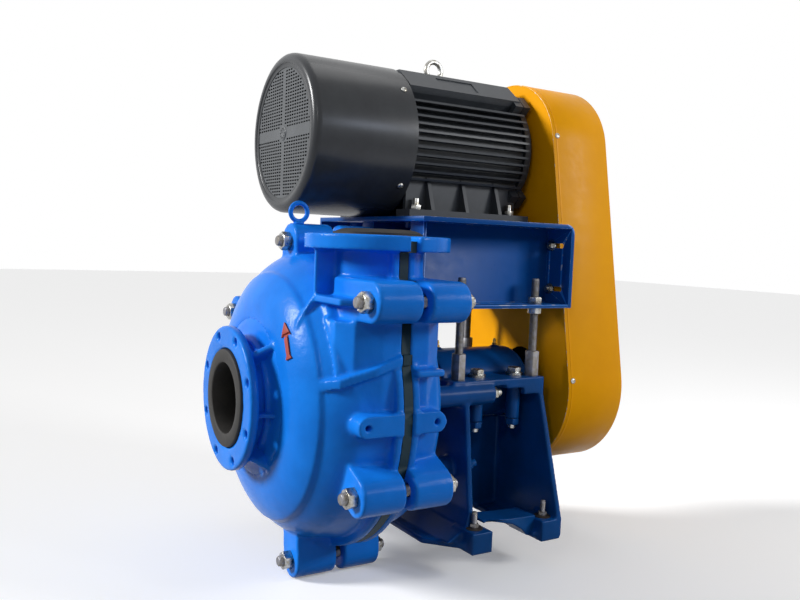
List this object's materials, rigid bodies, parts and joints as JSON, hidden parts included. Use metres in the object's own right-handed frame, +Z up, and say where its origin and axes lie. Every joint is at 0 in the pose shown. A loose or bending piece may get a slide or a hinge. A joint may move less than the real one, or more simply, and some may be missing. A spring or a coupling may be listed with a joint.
{
  "type": "slurry pump",
  "caption": "Rubber-lined horizontal centrifugal slurry pump with split casing, overhead electric motor on jacking rods and guarded belt drive.",
  "frame": {"origin": "centre of the four foot bolts, on the underside of the feet", "axes": "+Z up, +Y along the shaft from the suction flange to the drive end, +X to the discharge side"},
  "size_m": [0.783, 0.9841, 1.2117],
  "materials": {
    "casing_blue": "glossy",
    "base_blue": "satin",
    "guard_amber": "satin",
    "motor_grey": "satin",
    "cowl_black": "satin",
    "liner_rubber": "matte",
    "belt_rubber": "matte",
    "bare_iron": "rough",
    "white_iron": "rough",
    "zinc_steel": "zinc plated",
    "shaft_steel": "ground",
    "bearing_steel": "ground",
    "core_steel": "varnished",
    "brass_fitting": "satin",
    "lantern_brass": "machined",
    "packing": "braided",
    "fan_plastic": "matte"
  },
  "bodies": {
    "pump": {"cover_plate": "casing_blue", "frame_plate": "casing_blue", "cover_liner": "liner_rubber", "frame_liner": "liner_rubber", "suction_joint_ring": "liner_rubber", "throatbush": "liner_rubber", "back_liner": "liner_rubber", "stuffing_box": "bare_iron", "gland_packing": "packing", "lantern_ring": "lantern_brass", "gland_studs": "zinc_steel", "casing_studs": "zinc_steel", "casing_nuts": "zinc_steel", "casing_eye_bolt": "casing_blue", "base_frame": "base_blue", "frame_plate_studs": "zinc_steel", "clamp_bolts": "zinc_steel", "clamp_washers": "zinc_steel", "jack_rods": "zinc_steel", "coupling_nuts": "zinc_steel", "v_belts": "belt_rubber"},
    "gland_follower": {"gland": "bare_iron", "gland_nuts": "zinc_steel"},
    "cartridge": {"bearing_housing": "base_blue", "front_end_cover": "bare_iron", "rear_end_cover": "base_blue", "end_cover_bolts": "zinc_steel", "grease_nipples": "brass_fitting", "front_bearing": "bearing_steel", "rear_bearing": "bearing_steel"},
    "pump_rotor": {"pump_shaft": "shaft_steel", "shaft_sleeve": "shaft_steel", "impeller": "white_iron", "pump_pulley": "bare_iron", "pump_key": "shaft_steel"},
    "platform": {"motor_platform": "base_blue", "platform_near_channel": "base_blue", "platform_far_channel": "base_blue", "platform_nuts": "zinc_steel", "motor_frame": "motor_grey", "motor_drive_shield": "motor_grey", "motor_fan_shield": "motor_grey", "stator_core": "core_steel", "motor_bearings": "bearing_steel", "motor_foot_bolts": "zinc_steel", "motor_eye_bolt": "zinc_steel", "fan_cowl": "cowl_black", "cowl_grille": "cowl_black", "cowl_screws": "zinc_steel", "fan_motor": "motor_grey", "guard_panel": "guard_amber", "guard_cover": "guard_amber", "guard_bolts": "zinc_steel", "guard_screws": "zinc_steel"},
    "motor_rotor": {"motor_shaft": "shaft_steel", "rotor_core": "core_steel", "motor_pulley": "bare_iron"},
    "fan": {"cooling_fan": "fan_plastic"}
  },
  "joints": [
    {"name": "cartridge_slide", "type": "slide", "parent": "pump", "child": "cartridge", "axis": [0, 1, 0], "range_m": [-0.002, 0.003]},
    {"name": "pump_spin", "type": "hinge", "parent": "cartridge", "child": "pump_rotor", "pos_m": [0, 0.0175, 0.338], "axis": [0, 1, 0], "continuous": true},
    {"name": "gland_slide", "type": "slide", "parent": "pump", "child": "gland_follower", "axis": [0, 1, 0], "range_m": [0, 0.01]},
    {"name": "belt_take_up", "type": "slide", "parent": "pump", "child": "platform", "axis": [0, 0, 1], "range_m": [-0.003, 0.03], "deforming": ["v_belts"]},
    {"name": "motor_spin", "type": "hinge", "parent": "platform", "child": "motor_rotor", "pos_m": [-0.136, 0.0175, 0.921], "axis": [0, 1, 0], "continuous": true},
    {"name": "fan_spin", "type": "hinge", "parent": "platform", "child": "fan", "pos_m": [-0.136, -0.3025, 0.921], "axis": [0, 1, 0], "continuous": true}
  ],
  "couplings": [
    {"joint": "motor_spin", "follows": "pump_spin", "ratio": 1.8806}
  ]
}
